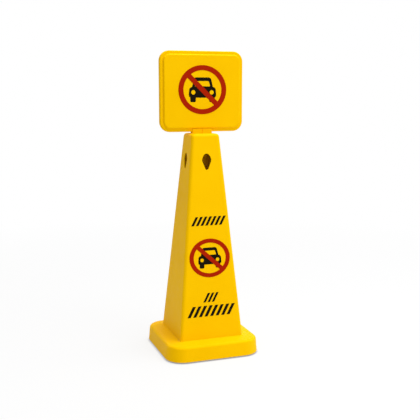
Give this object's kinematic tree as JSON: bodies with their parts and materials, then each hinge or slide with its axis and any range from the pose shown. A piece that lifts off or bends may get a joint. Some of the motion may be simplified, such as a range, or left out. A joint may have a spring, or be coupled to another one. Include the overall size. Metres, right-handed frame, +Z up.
{
  "type": "cone sign",
  "caption": "Hollow square-section plastic floor cone on a weighted square base, with chain keyholes in its faces and a lift-out sign board on a short neck.",
  "frame": {"origin": "on the floor, under the middle of the square base", "axes": "+Z up along the cone; the printed front faces -Y; +X is to the right of someone facing the front"},
  "size_m": [0.3058, 0.3058, 0.9555],
  "materials": {
    "yellow_plastic": "satin moulded polypropylene, coloured through",
    "ballast_rubber": "matt moulded recycled rubber",
    "foot_rubber": "matt rubber",
    "screw_steel": "zinc plated",
    "print_red": "printed film",
    "print_black": "printed film"
  },
  "bodies": {
    "cone": {"cone_shell": "yellow_plastic", "ballast_ring": "ballast_rubber", "ballast_screws": "screw_steel", "foot_front_left": "foot_rubber", "foot_front_right": "foot_rubber", "foot_rear_left": "foot_rubber", "foot_rear_right": "foot_rubber"},
    "sign_board": {"board_front_shell": "yellow_plastic", "board_rear_shell": "yellow_plastic", "board_screws": "screw_steel", "board_stem": "yellow_plastic", "stem_screws": "screw_steel"}
  },
  "joints": [
    {"name": "board_lift", "type": "slide", "parent": "cone", "child": "sign_board", "axis": [0, 0, 1], "range_m": [0, 0.08]}
  ]
}
